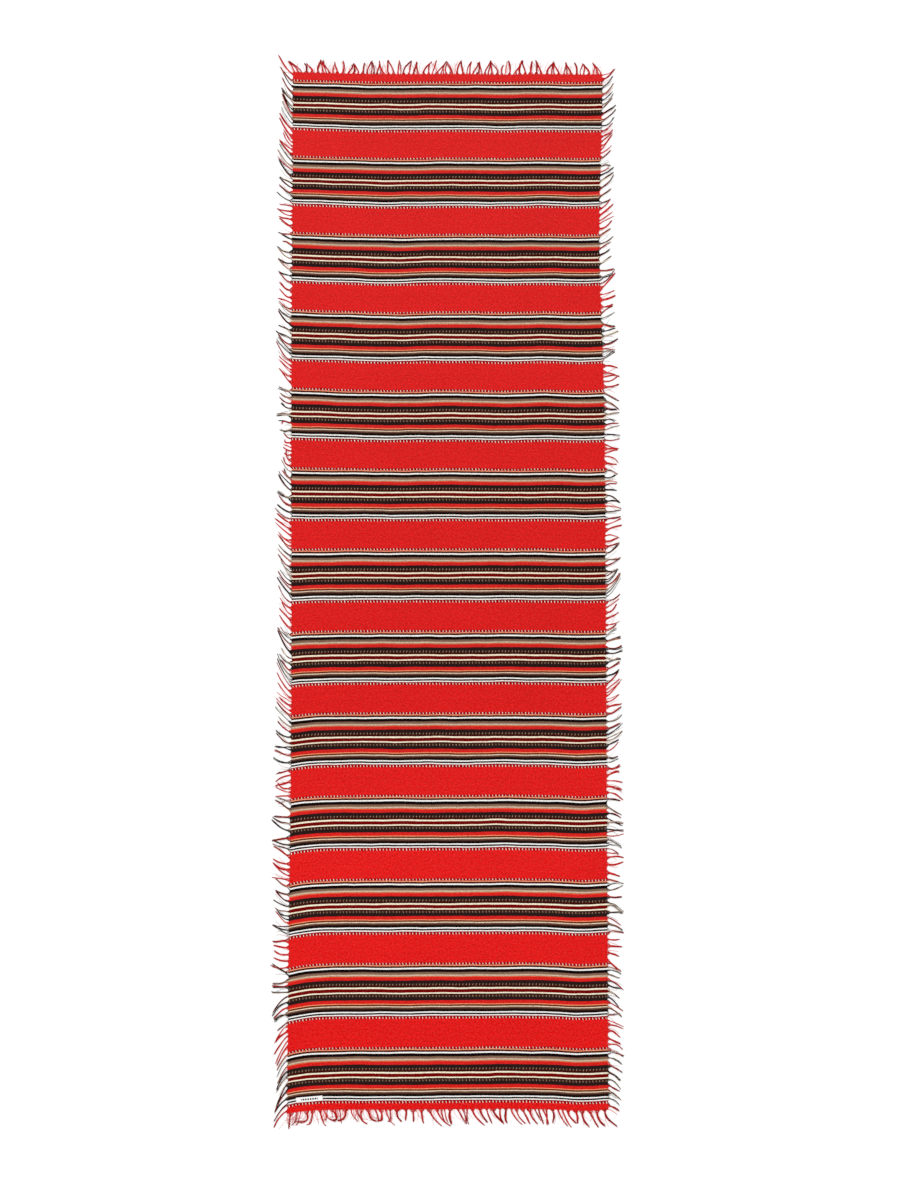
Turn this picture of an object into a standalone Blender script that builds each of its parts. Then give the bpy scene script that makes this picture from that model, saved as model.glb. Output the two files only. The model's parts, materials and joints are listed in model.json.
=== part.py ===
"""A striped, hand-loom table runner with a frayed fringe on all four sides, lying flat.

X runs across the cloth, Y along it and Z up. The origin is the middle of the underside.
The end at -Y is the label end, and the one at +Y is the plain end.
The cloth folds at three lines, its middle and half way from there to each end, so it is four panels.
Each panel hangs on an empty that stands on the axis of its fold.
"""

import math

import bpy
from mathutils import Matrix, Vector

# The cloth, in metres.
CLOTH_LENGTH = 1.500
CLOTH_WIDTH = 0.450
CLOTH_THICKNESS = 0.0012

# The fringe: the cloth's own yarns, which stand out from its edge in tapering tufts.
SIDE_FRINGE = 0.026
END_FRINGE = 0.025
FRINGE_THICKNESS = 0.0009
FRAY_ROOT = 0.0025  # the strip beside the cloth that the tufts grow from
TUFT_PITCH = 0.015
TUFT_ROOT_SHARE = 0.74  # a tuft's width at its root, as a share of the pitch
TUFT_TIP = 0.0016
TUFT_VARIES = 0.22  # how much shorter the shortest tuft is than the longest
SIDE_LEAN = math.radians(26)  # at the cloth's corners, away from its middle
LABEL_END_LEAN = math.radians(18)
PLAIN_END_LEAN = math.radians(-4)
GOLDEN_TURN = math.pi * (3 - math.sqrt(5))

# The folds, which all close upwards. An end folds onto its middle panel, twice the clearance above it.
# The label half then folds over onto the plain half, with both folded ends between them.
FOLD_CLEARANCE = 0.0011  # from the cloth's upper face to the axis that an end folds about
HALVES_APART = 0.0008  # between the two folded ends, once the halves are folded together
FOLD_SLIT = 0.0003  # between two panels at their fold line
FIT_GAP = 0.0003  # between two pieces that touch
ENDS_APART = 0.002  # between the tips of the end fringes, once both ends are folded in
END_FOLD = (CLOTH_LENGTH / 2 + END_FRINGE + ENDS_APART / 2) / 2  # from the middle to either end's fold
END_AXIS = CLOTH_THICKNESS + FOLD_CLEARANCE  # the height of the axes of the end folds
MIDDLE_AXIS = 2 * END_AXIS + HALVES_APART / 2  # a folded half is twice END_AXIS thick

# The woven label and the thread that holds its two short ends.
LABEL_LENGTH = 0.038
LABEL_WIDTH = 0.0070
LABEL_THICKNESS = 0.0004
LABEL_FROM_SIDE = 0.012
LABEL_FROM_END = 0.0145
LABEL_TILT = math.radians(5)
THREAD = 0.0004
STITCH_LONG = 0.0018  # how far a stitch reaches along the label
STITCH_MARGIN = 0.0008  # from the outermost stitch to the label's long edge
STITCHES = 5

COLLECTION = "table_runner"


def clear_scene():
    for old in list(bpy.data.objects):
        bpy.data.objects.remove(old, do_unlink=True)


def new_collection():
    collection = bpy.data.collections.new(COLLECTION)
    bpy.context.scene.collection.children.link(collection)
    return collection


def finish_of(name, colour, roughness):
    """A Principled material of one colour. Nothing on a runner is metal."""
    material = bpy.data.materials.new(name)
    material.use_nodes = True
    shader = material.node_tree.nodes["Principled BSDF"]
    shader.inputs["Base Color"].default_value = (*colour, 1.0)
    shader.inputs["Roughness"].default_value = roughness
    shader.inputs["Metallic"].default_value = 0.0
    return material


def add_object(collection, name, data, finish, place, pivot):
    """Puts data into the scene at a world matrix, hung on the pivot of its panel."""
    piece = bpy.data.objects.new(name, data)
    collection.objects.link(piece)
    data.materials.append(finish)
    piece.parent = pivot
    piece.matrix_parent_inverse = pivot_matrix(pivot).inverted()
    piece.matrix_basis = place
    return piece


def pivot_matrix(pivot):
    """Where a pivot stands. The pivots are only moved, never turned, so their places add up."""
    place = Matrix.Identity(4)
    while pivot is not None:
        place = Matrix.Translation(pivot.location) @ place
        pivot = pivot.parent
    return place


def add_pivot(collection, name, y, z, parent=None):
    pivot = bpy.data.objects.new(name, None)
    pivot.empty_display_size = 0.03
    collection.objects.link(pivot)
    pivot.parent = parent
    pivot.location = Vector((0.0, y, z)) - pivot_matrix(parent).translation
    return pivot


def panel_pivots(collection):
    """One empty for each panel, on the axis of its fold. The plain middle panel stays still."""
    still = add_pivot(collection, "pivot_plain_middle", END_FOLD / 2, 0.0)
    middle = add_pivot(collection, "pivot_label_middle", 0.0, MIDDLE_AXIS, still)
    return {
        "label_end": add_pivot(collection, "pivot_label_end", -END_FOLD, END_AXIS, middle),
        "label_middle": middle,
        "plain_middle": still,
        "plain_end": add_pivot(collection, "pivot_plain_end", END_FOLD, END_AXIS, still),
    }


def panel_spans():
    """The stretch of Y that each panel covers, short of its fold lines by half the slit."""
    end = CLOTH_LENGTH / 2
    half_slit = FOLD_SLIT / 2
    return {
        "label_end": (-end, -END_FOLD - half_slit),
        "label_middle": (-END_FOLD + half_slit, -half_slit),
        "plain_middle": (half_slit, END_FOLD - half_slit),
        "plain_end": (END_FOLD + half_slit, end),
    }


def add_slab(collection, name, size, place, finish, pivot):
    """A box of this size, centred on its own origin."""
    bpy.ops.mesh.primitive_cube_add(size=1.0)
    cube = bpy.context.object
    mesh = cube.data
    bpy.data.objects.remove(cube)
    mesh.name = name
    mesh.transform(Matrix.Diagonal((*size, 1.0)))
    return add_object(collection, name, mesh, finish, place, pivot)


def flat_curve(name, outline, thickness):
    """A closed outline in X and Y, extruded to a thickness about Z = 0."""
    curve = bpy.data.curves.new(name, "CURVE")
    curve.dimensions = "2D"
    curve.fill_mode = "BOTH"
    curve.extrude = thickness / 2
    spline = curve.splines.new("POLY")
    spline.points.add(len(outline) - 1)
    for point, (x, y) in zip(spline.points, outline):
        point.co = (x, y, 0.0, 1.0)
    spline.use_cyclic_u = True
    return curve


def fray_outline(span, reach, lean_at):
    """A frayed edge along X, centred on 0, whose tufts point to +Y up to reach.

    Each tuft is a taper from the root strip to its tip. It leans by lean_at(x),
    but no further than the end of the span, where the next panel or corner begins.
    """
    count = max(2, round(span / TUFT_PITCH))
    pitch = span / count
    root = FIT_GAP + FRAY_ROOT
    half_root = TUFT_ROOT_SHARE * pitch / 2
    outline = [(span / 2, FIT_GAP), (span / 2, root)]
    for i in reversed(range(count)):
        x = (i + 0.5) * pitch - span / 2
        shorter = TUFT_VARIES * (1 - math.cos(i * GOLDEN_TURN)) / 2
        tip = reach * (1 - shorter)
        room = span / 2 - abs(x) - TUFT_TIP / 2
        lean = (tip - root) * math.tan(lean_at(x))
        lean = max(-room, min(room, lean))
        outline += [
            (x + half_root, root),
            (x + lean + TUFT_TIP / 2, tip),
            (x + lean - TUFT_TIP / 2, tip),
            (x - half_root, root),
        ]
    return outline + [(-span / 2, root), (-span / 2, FIT_GAP)]


def add_fray(collection, name, span, reach, lean_at, edge, turn, finish, pivot):
    """A frayed edge that starts at the point edge and points along +Y turned by turn about Z."""
    outline = fray_outline(span, reach, lean_at)
    curve = flat_curve(name, outline, FRINGE_THICKNESS)
    place = Matrix.Translation((*edge, FRINGE_THICKNESS / 2)) @ Matrix.Rotation(turn, 4, "Z")
    return add_object(collection, name, curve, finish, place, pivot)


def add_side_fringes(collection, panel, span, finish, pivot):
    """Left and right of one panel. The tufts lean away from the middle of the runner."""
    low, high = span
    middle = (low + high) / 2
    for side, turn in (("left", math.pi / 2), ("right", -math.pi / 2)):
        along = math.copysign(1.0, turn)  # the outline's X runs along +Y on the left, -Y on the right
        edge = (-along * CLOTH_WIDTH / 2, middle)

        def lean_at(x, along=along):
            y = middle + along * x
            return along * SIDE_LEAN * y / (CLOTH_LENGTH / 2)

        name = f"{side}_fringe_{panel}"
        add_fray(collection, name, high - low, SIDE_FRINGE, lean_at, edge, turn, finish, pivot)


def add_end_fringe(collection, name, y, turn, lean, finish, pivot):
    add_fray(
        collection, name, CLOTH_WIDTH, END_FRINGE, lambda x: lean, (0.0, y), turn, finish, pivot
    )


def label_place():
    """The middle of the label's underside, turned by its tilt."""
    x = -CLOTH_WIDTH / 2 + LABEL_FROM_SIDE + LABEL_LENGTH / 2
    y = -CLOTH_LENGTH / 2 + LABEL_FROM_END + LABEL_WIDTH / 2
    z = CLOTH_THICKNESS + FIT_GAP
    return Matrix.Translation((x, y, z)) @ Matrix.Rotation(LABEL_TILT, 4, "Z")


def add_label(collection, finish, pivot):
    size = (LABEL_LENGTH, LABEL_WIDTH, LABEL_THICKNESS)
    place = label_place() @ Matrix.Translation((0.0, 0.0, LABEL_THICKNESS / 2))
    add_slab(collection, "label", size, place, finish, pivot)


def add_label_stitches(collection, side, finish, pivot):
    """A zigzag of thread over one short end of the label, half on it and half on the cloth."""
    end = LABEL_LENGTH / 2 * (-1 if side == "left" else 1)
    width = LABEL_WIDTH - 2 * STITCH_MARGIN
    z = LABEL_THICKNESS + FIT_GAP + THREAD / 2
    turns = 2 * STITCHES
    curve = bpy.data.curves.new(f"label_stitches_{side}", "CURVE")
    curve.dimensions = "3D"
    curve.bevel_depth = THREAD / 2
    curve.bevel_resolution = 2
    curve.use_fill_caps = True
    spline = curve.splines.new("POLY")
    spline.points.add(turns)
    for i, point in enumerate(spline.points):
        x = end + STITCH_LONG * (i % 2 - 0.5)
        y = width * (i / turns - 0.5)
        point.co = (x, y, z, 1.0)
    add_object(collection, f"label_stitches_{side}", curve, finish, label_place(), pivot)


def build():
    clear_scene()
    collection = new_collection()
    red_cloth = finish_of("striped_cloth", (0.66, 0.03, 0.035), 0.9)
    frayed = finish_of("frayed_yarn", (0.50, 0.05, 0.05), 0.95)
    satin = finish_of("label_satin", (0.88, 0.87, 0.84), 0.6)
    thread = finish_of("sewing_thread", (0.80, 0.79, 0.76), 0.7)
    pivots = panel_pivots(collection)
    for panel, (low, high) in panel_spans().items():
        size = (CLOTH_WIDTH, high - low, CLOTH_THICKNESS)
        middle = Matrix.Translation((0.0, (low + high) / 2, CLOTH_THICKNESS / 2))
        add_slab(collection, f"cloth_{panel}", size, middle, red_cloth, pivots[panel])
        add_side_fringes(collection, panel, (low, high), frayed, pivots[panel])
    end = CLOTH_LENGTH / 2
    label_pivot = pivots["label_end"]
    plain_pivot = pivots["plain_end"]
    add_end_fringe(
        collection, "end_fringe_label", -end, math.pi, LABEL_END_LEAN, frayed, label_pivot
    )
    add_end_fringe(collection, "end_fringe_plain", end, 0.0, PLAIN_END_LEAN, frayed, plain_pivot)
    add_label(collection, satin, label_pivot)
    for side in ("left", "right"):
        add_label_stitches(collection, side, thread, label_pivot)


build()
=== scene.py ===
"""A hand-loom table runner, laid flat and open: striped cloth, a frayed fringe on four sides, a sewn-on label.

X runs across the cloth, Y along it from the label end (-Y) to the plain end (+Y), and Z up.
The cloth is described as its weaver would do it. Picks are the crosswise yarns, counted from the label end.
Warp threads are the lengthwise ones, counted from the middle of the cloth.
"""
import json
import math

import bpy
import numpy as np
from bpy.props import FloatProperty, FloatVectorProperty, IntProperty, PointerProperty
from mathutils import Matrix, Vector

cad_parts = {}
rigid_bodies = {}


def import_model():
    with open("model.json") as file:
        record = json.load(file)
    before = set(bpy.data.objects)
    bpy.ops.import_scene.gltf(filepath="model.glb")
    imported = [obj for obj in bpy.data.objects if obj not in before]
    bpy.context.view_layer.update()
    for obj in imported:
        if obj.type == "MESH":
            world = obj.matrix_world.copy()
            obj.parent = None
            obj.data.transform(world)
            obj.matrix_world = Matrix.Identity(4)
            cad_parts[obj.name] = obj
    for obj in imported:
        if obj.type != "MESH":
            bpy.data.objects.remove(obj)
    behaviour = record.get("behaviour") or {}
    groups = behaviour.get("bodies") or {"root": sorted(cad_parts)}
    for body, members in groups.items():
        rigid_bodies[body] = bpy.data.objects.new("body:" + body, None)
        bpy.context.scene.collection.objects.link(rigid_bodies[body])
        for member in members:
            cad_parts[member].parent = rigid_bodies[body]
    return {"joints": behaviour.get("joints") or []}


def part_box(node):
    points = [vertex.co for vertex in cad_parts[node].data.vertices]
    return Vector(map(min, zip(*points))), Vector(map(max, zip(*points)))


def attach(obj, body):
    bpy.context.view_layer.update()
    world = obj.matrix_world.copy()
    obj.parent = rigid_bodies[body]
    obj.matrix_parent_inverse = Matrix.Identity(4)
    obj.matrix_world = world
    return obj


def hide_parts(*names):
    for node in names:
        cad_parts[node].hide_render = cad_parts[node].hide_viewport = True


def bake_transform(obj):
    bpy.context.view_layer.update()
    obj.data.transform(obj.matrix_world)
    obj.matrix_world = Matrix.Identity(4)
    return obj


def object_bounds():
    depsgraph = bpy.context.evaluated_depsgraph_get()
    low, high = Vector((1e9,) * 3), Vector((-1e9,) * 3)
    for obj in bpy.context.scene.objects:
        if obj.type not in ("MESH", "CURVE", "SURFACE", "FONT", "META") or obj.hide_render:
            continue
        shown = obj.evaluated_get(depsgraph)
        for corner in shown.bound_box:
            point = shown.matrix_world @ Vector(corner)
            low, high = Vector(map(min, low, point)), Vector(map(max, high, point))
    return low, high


bl_info = {
    "name": "Table runner",
    "version": (1, 0, 0),
    "blender": (4, 5, 0),
    "location": "View3D > Sidebar > Runner",
    "description": "Weaves a striped table runner with a frayed fringe and a sewn-on label",
    "category": "Add Mesh",
}

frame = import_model()
CAD_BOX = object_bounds()

MM = 0.001
LABEL_CORNER, PLAIN_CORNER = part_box("cloth_label_end")[0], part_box("cloth_plain_end")[1]
LABEL_EDGE, PLAIN_EDGE = LABEL_CORNER.y, PLAIN_CORNER.y
HALF_WIDTH = PLAIN_CORNER.x
THICKNESS = PLAIN_CORNER.z - LABEL_CORNER.z
FOLD_AT = {joint["name"]: joint["pos_m"][1] for joint in frame["joints"]}

# What each yarn is dyed, as a screen colour of 0 to 255.
DYES = {
    "red": (221, 34, 33), "crimson": (211, 38, 35), "deep_red": (150, 5, 5), "dotted_red": (160, 6, 6),
    "maroon": (110, 5, 4), "orange": (224, 88, 52), "salmon": (255, 152, 108), "tan": (246, 150, 114),
    "white": (255, 252, 244), "cream": (255, 236, 208), "grey": (22, 16, 16), "pale_taupe": (230, 206, 182),
    "light_taupe": (176, 148, 124), "taupe": (126, 98, 80), "dark_taupe": (102, 74, 57), "cinnamon": (94, 38, 12),
    "olive": (68, 22, 8), "brown": (56, 12, 5), "dark_brown": (42, 20, 16), "dotted_brown": (52, 34, 26),
    # The thin stray yarns' pale pink is lighter than their dye: painted light against their shade.
    "charcoal": (35, 23, 22), "black": (4, 3, 4), "stray_pink": (244, 104, 100), "white_tick": (255, 250, 240),
    "tan_tick": (196, 158, 132),
}
# One group of stripes as it was woven, from its label side to its plain side: the yarn and how many picks of it.
GROUP = (
    ("dotted_red", 7), ("deep_red", 4), ("white", 4), ("grey", 6), ("white", 5), ("black", 7), ("dark_brown", 5),
    ("dark_taupe", 5), ("pale_taupe", 4), ("cinnamon", 6), ("salmon", 3), ("crimson", 13), ("charcoal", 13),
    ("dotted_brown", 7), ("brown", 5), ("cream", 5), ("maroon", 13), ("cream", 6), ("brown", 9),
    ("dotted_brown", 5), ("charcoal", 13), ("crimson", 12), ("orange", 3), ("light_taupe", 3), ("pale_taupe", 2),
    ("light_taupe", 3), ("taupe", 8), ("dark_brown", 2), ("black", 9), ("white", 6), ("olive", 7), ("tan", 4),
    ("dotted_red", 9),
)
GROUPS = 13
# Picks of plain red at the label end, between two groups and at the plain end.
LABEL_BAND, RED_BAND, PLAIN_BAND = 24, 107, 31
REPEAT = sum(picks for _, picks in GROUP) + RED_BAND
FIRST_RAMP = 22  # how many of a group's stripes the first colour ramp holds
# How much higher the thicker yarns lie, in mm.
PROUD = {"white": 0.12, "cream": 0.12, "salmon": 0.05, "tan": 0.05, "orange": 0.05, "light_taupe": 0.05}

# Three sheets of cloth, each with one fold: first and last pick, the bodies that the fold joins, the fold and half
# the length in mm over which it bends.
SHEETS = {
    "label": (0, 1570, "label_middle", "label_end", "fold_label_end", 3.0),
    "middle": (1570, 2532, "plain_middle", "label_middle", "fold_middle", 7.0),
    "plain": (2532, 4108, "plain_middle", "plain_end", "fold_plain_end", 3.0),
}
CLOTH_NODES = {
    "label": ("cloth_label_end", "cloth_label_middle"),
    "middle": ("cloth_label_middle", "cloth_plain_middle"),
    "plain": ("cloth_plain_middle", "cloth_plain_end"),
}
PICKS = SHEETS["plain"][1]

# How unevenly the weaver beat: the mm and half waves of each sine, then shares of the length and how many mm the
# groups there slipped towards the plain end.
BEAT_WAVES = ((10.8, 1), (-1.3, 2), (-0.7, 3))
BEAT_AT = (0.15, 0.265, 0.34, 0.42, 0.50, 0.57, 0.65, 0.725, 0.80, 0.875, 0.95)
BEAT_SLIPS = (0.0, 0.3, 0.0, -1.0, 0.0, 0.7, 0.15, 0.4, 1.0, 1.0, 0.0)

# How far the stripes sag towards the label end, in mm at shares of the length: at the left edge, with the metres
# over which that fades, and in three bellies, each with its middle and width across the cloth in metres.
DRAG = ((0, 0.08, 0.25, 0.42, 0.5, 0.65, 1), (6.5, 8.5, 7.0, 4.5, 1.8, -3.0, -3.4))
DRAG_FADES = ((0, 0.5, 0.65), (0.027, 0.027, 0.060))
BELLIES = (
    (-0.085, 0.055, (0, 0.5, 0.65, 0.8, 1), (0.6, -0.2, 1.2, 1.8, 0.6)),
    (0.080, 0.035, (0, 0.5, 0.65, 0.8, 1), (-0.6, -0.4, 2.0, 0.9, 1.0)),
    (0.190, 0.032, (0, 0.3, 0.5, 0.65, 1), (2.2, 2.0, 0.7, 2.0, 0.8)),
)

# The bay of each edge: mm deep, then middle and width along the cloth in metres. Then the edges' fine wobble: mm,
# radians to the metre, and the phase by which the right edge is ahead of the middle.
LEFT_BAY, RIGHT_BAY = (2.6, -0.18, 0.30), (6.6, 0.50, 0.17)
WOBBLES = ((0.30, 211, 1), (0.22, 487, 2), (0.16, 1009, 0))

# How steeply the side fringe leans towards the plain end at places along the cloth: metres, then rise over run.
LEFT_LEAN = (
    (-0.75, -0.71, -0.66, -0.61, -0.56, -0.4, -0.35, -0.27, -0.16, -0.01, 0.09, 0.15, 0.24, 0.28, 0.57, 0.7, 0.75),
    (-0.9, -1.4, -1.5, -0.6, 0.0, 0.55, 0.1, 0.05, 1.1, 1.1, 0.5, 1.0, 0.1, 0.9, 0.6, 1.6, 1.0),
)
RIGHT_LEAN = (
    (-0.75, -0.66, -0.5, -0.4, -0.3, -0.26, -0.14, -0.11, -0.07, 0.0, 0.05, 0.12, 0.3, 0.4, 0.55, 0.75),
    (-0.9, -0.45, -0.3, -0.1, -0.3, 0.35, 0.6, -0.1, 0.7, 0.7, 0.2, -0.2, 0.1, 0.4, 0.7, 0.8),
)
# The end fringe at places across the cloth in metres: its lean to the right, how much of it hooks over and the share
# of thin yarns that lie apart.
LABEL_LEAN = ((-0.225, -0.18, -0.09, 0.225), (-0.3, 0.1, 0.45, 0.4))
LABEL_HOOKED = ((-0.225, -0.10, -0.04, 0.225), (0.75, 0.65, 0.15, 0.12))
LABEL_STRAY = ((-0.15, -0.05), (0.32, 0.10))
PLAIN_LEAN = ((-0.225, -0.17, -0.05, 0.225), (-0.70, -0.10, 0.12, 0.10))
PLAIN_HOOKED, PLAIN_STRAY = 0.06, 0.16
ROOT_IN_CLOTH = 1.6 * MM  # how far inside the edge a loose yarn starts
WARP_STRANDS = 3  # loose strands to each warp thread
WARP_REDS = {"crimson": 0.42, "deep_red": 0.16, "maroon": 0.04, "red": 0.38}  # and the share of them in each red

SIDES = {"left": -1.0, "right": 1.0}
TICK_SEED, SIDE_SEED, END_SEED = 11, 100, 300
FLOOR_HALF, LAMP_SIZE = 9.0, 3.0  # metres, and so are the places
LAMP_PLACE, CAMERA_AIM = Vector((-2.6, 1.6, 4.2)), Vector((0.003, -0.0254, 0.0))
LIGHT_ON_CLOTH = 1.07  # how much light falls on the cloth, by which the dyes are divided


def linear(red, green, blue):
    """A screen colour of 0 to 255 as light: the usual screen curve undone."""
    share = np.array((red, green, blue)) / 255
    return tuple(np.where(share <= 0.04045, share / 12.92, ((share + 0.055) / 1.055) ** 2.4))


def dye(name, red, green, blue):
    """A setting for a colour, with its default as a screen colour of 0 to 255."""
    return FloatVectorProperty(
        name=name, description=f"What colour {name.lower()} is", subtype="COLOR", size=3, min=0, max=1,
        default=linear(red, green, blue),
    )


def length(name, description, millimetres):
    """A setting for a length, with its default in millimetres."""
    return FloatProperty(name=name, description=description, default=millimetres * MM, min=0, unit="LENGTH")


def angle(name, description, degrees):
    """A setting for an angle, with its default in degrees."""
    return FloatProperty(name=name, description=description, default=math.radians(degrees), unit="ROTATION")


class RunnerDyes(bpy.types.PropertyGroup):
    """The colours that the yarns are dyed"""

    __annotations__ = {yarn: dye(yarn.replace("_", " ").capitalize(), *screen) for yarn, screen in DYES.items()}


class RunnerCloth(bpy.types.PropertyGroup):
    """The sizes of the woven cloth"""

    warp_spacing: length("Warp spacing", "From one lengthwise thread to the next", 1.758)
    groove: length("Groove", "How deep the line between two stripes lies", 0.10)
    swell: length("Swell", "How high the cloth lifts off the table", 0.5)
    columns: IntProperty(name="Columns", description="Points across the cloth", default=84, min=8)
    ticks: IntProperty(name="Ticks", description="Raised ticks in each dotted row", default=96, min=2)
    tick_width: length("Tick width", "Width of a raised tick", 1.40)
    tick_length: length("Tick length", "Length of a raised tick", 2.7)


class RunnerFringe(bpy.types.PropertyGroup):
    """The sizes of the frayed fringe"""

    yarn: length("Yarn thickness", "Thickness of one loose yarn", 0.68)
    side_reach: length("Side reach", "How far the loose crosswise yarns reach past the cloth", 24.5)
    label_reach: length("Label end reach", "How far the loose warp reaches past the label end", 24.0)
    plain_reach: length("Plain end reach", "How far the loose warp reaches past the plain end", 20.0)
    side_tuft: length("Side tuft pitch", "From one twisted tuft of a side to the next, on average", 8.0)
    label_tuft: length("Label end tuft pitch", "The same at the label end", 8.0)
    plain_tuft: length("Plain end tuft pitch", "The same at the plain end", 6.0)
    clump: length("Clump pitch", "From one clump of tufts to the next, on average", 14.0)


class RunnerLabel(bpy.types.PropertyGroup):
    """The sizes and colour of the sewn-on label"""

    length: length("Length", "Length of the label", 37)
    width: length("Width", "Width of the label", 7)
    drop: length("Drop", "How much nearer the label end it is sewn than drawn", 4)
    tilt: angle("Tilt", "How crookedly it is sewn on", 5)
    satin: dye("Satin", 250, 249, 247)
    motif: dye("Motif", 20, 28, 25)
    motif_pitch: length("Motif pitch", "From one woven diamond to the next", 3.4)
    motif_reach: length("Motif reach", "From the middle of a diamond to its corners", 1.7)


class RunnerStudio(bpy.types.PropertyGroup):
    """The colour of the floor, the light and the camera"""

    floor: dye("Floor", 200, 200, 200)
    glow: FloatProperty(name="Floor glow", description="Light from under the floor", default=0.45)
    sky: FloatProperty(name="Sky", description="Strength of the light from all round", default=0.88)
    lamp: FloatProperty(name="Lamp", description="Power of the soft lamp", default=100.0, unit="POWER")
    distance: length("Camera distance", "From the camera to the cloth", 7300)
    tilt: angle("Camera tilt", "Away from straight down", 10.05)
    lens: FloatProperty(name="Lens", description="Focal length in millimetres", default=153.6)


# ---- the weave


def stripes():
    """Every stripe of the cloth from the label end: its yarn, its first pick and the pick after its last."""
    plan = [("red", LABEL_BAND)] + ((list(GROUP) + [("red", RED_BAND)]) * GROUPS)[:-1] + [("red", PLAIN_BAND)]
    ends = np.cumsum([picks for _, picks in plan])
    return [(yarn, end - picks, end) for (yarn, picks), end in zip(plan, ends)]


def beat(picks):
    """Pick number to place along the cloth. The weaver didn't beat evenly, so an even pitch is out by a sum of
    size * sin(halves * pi * share of the length), and by the slips, read between the shares that they were at."""
    share = picks / PICKS
    out = sum(size * np.sin(halves * math.pi * share) for size, halves in BEAT_WAVES)
    out = out + np.interp(share, BEAT_AT, BEAT_SLIPS)
    return LABEL_EDGE + (PLAIN_EDGE - LABEL_EDGE) * share + MM * out


def bell(value, middle, width):
    """exp(-((value - middle) / width) squared)."""
    return np.exp(-(((value - middle) / width) ** 2))


def pull(x, y):
    """How far the stripes sag towards the label end, in metres: a drag at the left edge, which fades as
    exp(-distance / fade), and a soft bell for each belly. The strength of each varies along the cloth."""
    along = (y - LABEL_EDGE) / (PLAIN_EDGE - LABEL_EDGE)
    sag = np.interp(along, *DRAG) * np.exp(-(x + HALF_WIDTH) / np.interp(along, *DRAG_FADES))
    for middle, width, shares, depths in BELLIES:
        sag = sag + np.interp(along, shares, depths) * bell(x, middle, width)
    return MM * sag


def draw_in(side, y):
    """How far an edge is drawn inwards, in metres: one long shallow bay on each side and a fine wobble of sines."""
    left, right = (deep * bell(y, middle, width) for deep, middle, width in (LEFT_BAY, RIGHT_BAY))
    wobble = sum(size * np.sin(y * pace + ahead * side) for size, pace, ahead in WOBBLES)
    return MM * (np.where(side > 0, right, left) + wobble)


def swell(x, y):
    """How high the cloth lifts off the table: the product of two crossing waves and a finer third one, each a sine
    raised above zero, over the most that they come to, and none under the label."""
    across, along = 1 + np.sin(23 * x + 5 * y + 0.6), 1 + np.sin(17 * y - 9 * x)
    cross = 1 + np.sin(41 * x - 13 * y + 2)
    most = 0.3 * 4 + 0.2 * 2
    calm = 1 - bell(x, -0.194, 0.06) * bell(y, -0.732, 0.06)
    return bpy.context.scene.runner_cloth.swell * (0.3 * across * along + 0.2 * cross) / most * calm


def lay(across, picks, height):
    """A point of the cloth: across runs from -1 at its left edge to 1 at its right one, picks from the label end,
    and height above its underside. The edges are drawn in by the cube of the distance from the middle."""
    y = beat(picks)
    side = np.where(across > 0, 1.0, -1.0)
    x = across * HALF_WIDTH - side * draw_in(side, y) * np.abs(across) ** 3
    return np.stack(np.broadcast_arrays(x, y - pull(x, y), swell(x, y) + height), axis=-1)


def weave_rows(first, last, fold):
    """The picks that get a row of points, and the relief of each. A stripe has a row in the groove at each side and
    one, at its yarn's height, for about every 4 picks between, or 6 in plain red. The fold has one at every pick."""
    groove = bpy.context.scene.runner_cloth.groove
    rows, relief = [], []
    for yarn, start, end in stripes():
        if end <= first or start >= last:
            continue
        step = 6 if yarn == "red" else 4
        inner = max(1, round((end - start) / step))
        crowns = start + (np.arange(inner) + 0.5) * (end - start) / inner
        rows += [[start], crowns]
        relief += [[-groove], np.full(inner, PROUD.get(yarn, 0) * MM)]
    rows, relief = np.concatenate(rows + [[last]]), np.concatenate(relief + [[0.0]])
    fine = np.arange(fold - 20, fold + 20, 1.0)
    every = np.unique(np.round(np.concatenate([rows[(rows > first) & (rows < last)], fine, [first, last]]), 2))
    return every, np.interp(every, rows, relief)


def pick_at(y):
    """The pick that lies at a place along the cloth, as beat() says it, read off backwards."""
    picks = np.arange(PICKS + 1)
    return float(np.interp(y, beat(picks), picks))


# ---- meshes


def add_mesh(name, points, faces, material, uvs=None, colours=None):
    """A mesh object at the origin. faces are arrays of corner numbers, one array for each number of sides; uvs
    are arrays of (u, v) for each corner in that order, by map name; colours are one for each point."""
    mesh = bpy.data.meshes.new(name)
    corners = np.concatenate([part.ravel() for part in faces])
    sides = np.concatenate([np.full(len(part), part.shape[1]) for part in faces])
    mesh.vertices.add(len(points))
    mesh.vertices.foreach_set("co", np.ascontiguousarray(points, np.float32).ravel())
    mesh.loops.add(len(corners))
    mesh.loops.foreach_set("vertex_index", corners.astype(np.int32))
    mesh.polygons.add(len(sides))
    mesh.polygons.foreach_set("loop_start", (np.cumsum(sides) - sides).astype(np.int32))
    mesh.update(calc_edges=True)
    for map_name, uv in (uvs or {}).items():
        layer = mesh.uv_layers.new(name=map_name)
        layer.uv.foreach_set("vector", np.ascontiguousarray(uv, np.float32).ravel())
    if colours is not None:
        attribute = mesh.color_attributes.new("yarn_colour", "FLOAT_COLOR", "POINT")
        rgba = np.concatenate([colours, np.ones((len(colours), 1))], axis=1)
        attribute.data.foreach_set("color", rgba.astype(np.float32).ravel())
    mesh.shade_smooth()
    mesh.materials.append(material)
    made = bpy.data.objects.new(name, mesh)
    bpy.context.scene.collection.objects.link(made)
    return made


def grid_faces(rows, columns):
    """Corner numbers of a grid's quads, which face up where the columns run right and the rows away."""
    first = (np.arange(rows - 1)[:, None] * columns + np.arange(columns - 1)).ravel()
    return np.stack([first, first + 1, first + columns + 1, first + columns], axis=1)


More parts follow.
